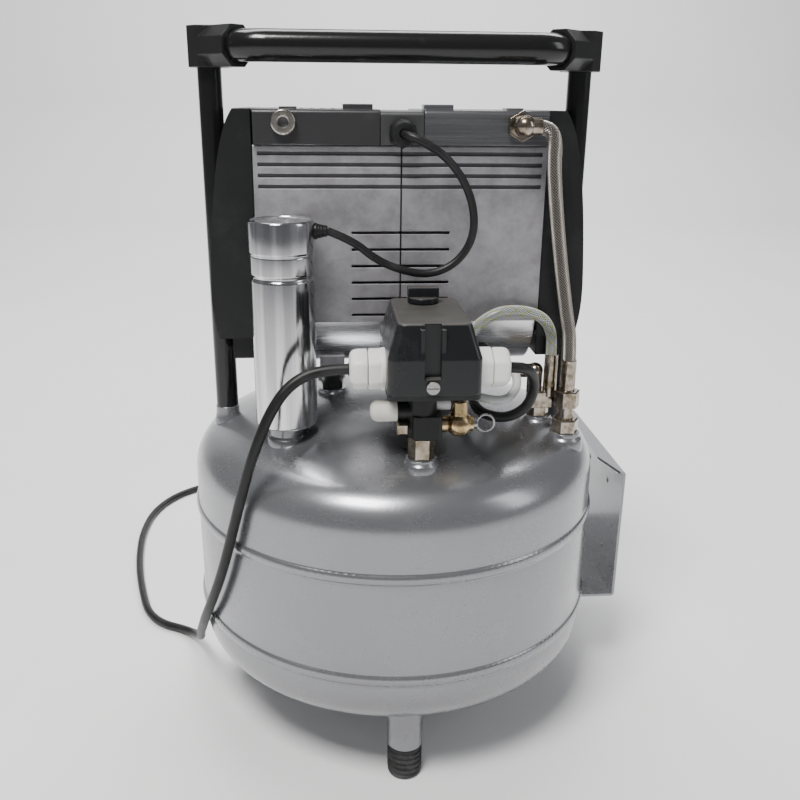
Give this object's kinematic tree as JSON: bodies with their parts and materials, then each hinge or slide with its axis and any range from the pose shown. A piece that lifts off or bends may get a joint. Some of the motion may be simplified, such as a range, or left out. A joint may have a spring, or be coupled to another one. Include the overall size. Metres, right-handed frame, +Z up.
{
  "type": "airbrush compressor",
  "caption": "Small oil-free air compressor: a flat-fronted motor-compressor with capacitor, pressure switch and hoses on an upright silver receiver with legs, carry handle and mains cord.",
  "frame": {"origin": "on the floor under the receiver's axis, at the centre of the three feet", "axes": "+Z up along the receiver's axis; -Y is the side with the pressure switch; +X is to the right seen from that side"},
  "size_m": [0.4396, 0.5418, 0.5013],
  "materials": {
    "tank_silver": "silver metallic paint",
    "handle_black": "gloss black powder coat",
    "rubber_black": "moulded rubber",
    "cast_alloy": "die-cast, blasted",
    "head_black": "semi-matt black coating on castings",
    "cover_plastic": "black textured",
    "white_plastic": "white nylon",
    "grey_plastic": "translucent grey",
    "can_alloy": "drawn and polished",
    "film_plastic": "wound film",
    "steel": "machined",
    "copper_wire": "enamelled winding",
    "nickel_brass": "nickel-plated and bare brass",
    "braided_steel": "braided wire",
    "clear_hose": "clear with textile braid",
    "cable_black": "black sheath"
  },
  "bodies": {
    "frame": {"bearings": "steel", "capacitor_can": "can_alloy", "capacitor_cap": "cover_plastic", "capacitor_element": "film_plastic", "capacitor_lead": "cable_black", "check_valve": "nickel_brass", "cord_coil": "cable_black", "cylinder_head_left": "head_black", "cylinder_head_right": "head_black", "cylinder_liners": "can_alloy", "delivery_elbow": "nickel_brass", "delivery_hose": "braided_steel", "drain_body": "nickel_brass", "eccentrics": "steel", "end_cover_left": "cover_plastic", "end_cover_right": "cover_plastic", "feet": "rubber_black", "gland_left": "white_plastic", "gland_right": "white_plastic", "handle_corners": "handle_black", "handle_grip": "handle_black", "handle_posts": "handle_black", "head_plug": "steel", "hose_tail": "nickel_brass", "housing_left": "cast_alloy", "housing_right": "cast_alloy", "legs": "tank_silver", "mains_plug": "cable_black", "motor_cable": "cable_black", "motor_gland": "cover_plastic", "outlet_hose": "clear_hose", "outlet_tee": "nickel_brass", "piston_rods": "cast_alloy", "port_manifold": "cover_plastic", "port_nipple": "nickel_brass", "power_cord": "cable_black", "receiver": "tank_silver", "receiver_seats": "tank_silver", "regulator_bracket": "tank_silver", "rubber_mounts": "rubber_black", "safety_valve": "nickel_brass", "screws": "steel", "side_plug": "nickel_brass", "signal_elbow": "grey_plastic", "signal_tube": "grey_plastic", "silencer": "white_plastic", "stator": "steel", "switch_base": "cover_plastic", "switch_contacts": "cover_plastic", "switch_cover": "cover_plastic", "terminal_cover": "head_black", "union_nut": "nickel_brass", "valve_plates": "steel", "windings": "copper_wire"},
    "rotor_group": {"shaft": "steel", "rotor": "steel", "fans": "cover_plastic"},
    "knob": {"switch_knob": "cover_plastic"},
    "pull": {"safety_pull": "steel"},
    "drain": {"drain_screw": "nickel_brass"}
  },
  "joints": [
    {"name": "motor_shaft", "type": "hinge", "parent": "frame", "child": "rotor_group", "pos_m": [0, 0.014, 0.36604], "axis": [1, 0, 0], "continuous": true},
    {"name": "switch_knob_turn", "type": "hinge", "parent": "frame", "child": "knob", "pos_m": [0.012, -0.076, 0.332], "axis": [0, 0, 1], "range_deg": [0, 90]},
    {"name": "safety_pull_slide", "type": "slide", "parent": "frame", "child": "pull", "axis": [1, 0, 0], "range_m": [0, 0.0025], "stiffness_N_per_m": 800},
    {"name": "drain_turn", "type": "hinge", "parent": "frame", "child": "drain", "pos_m": [0, 0, 0.01296], "axis": [0, -1, 0], "range_deg": [0, 540]}
  ]
}
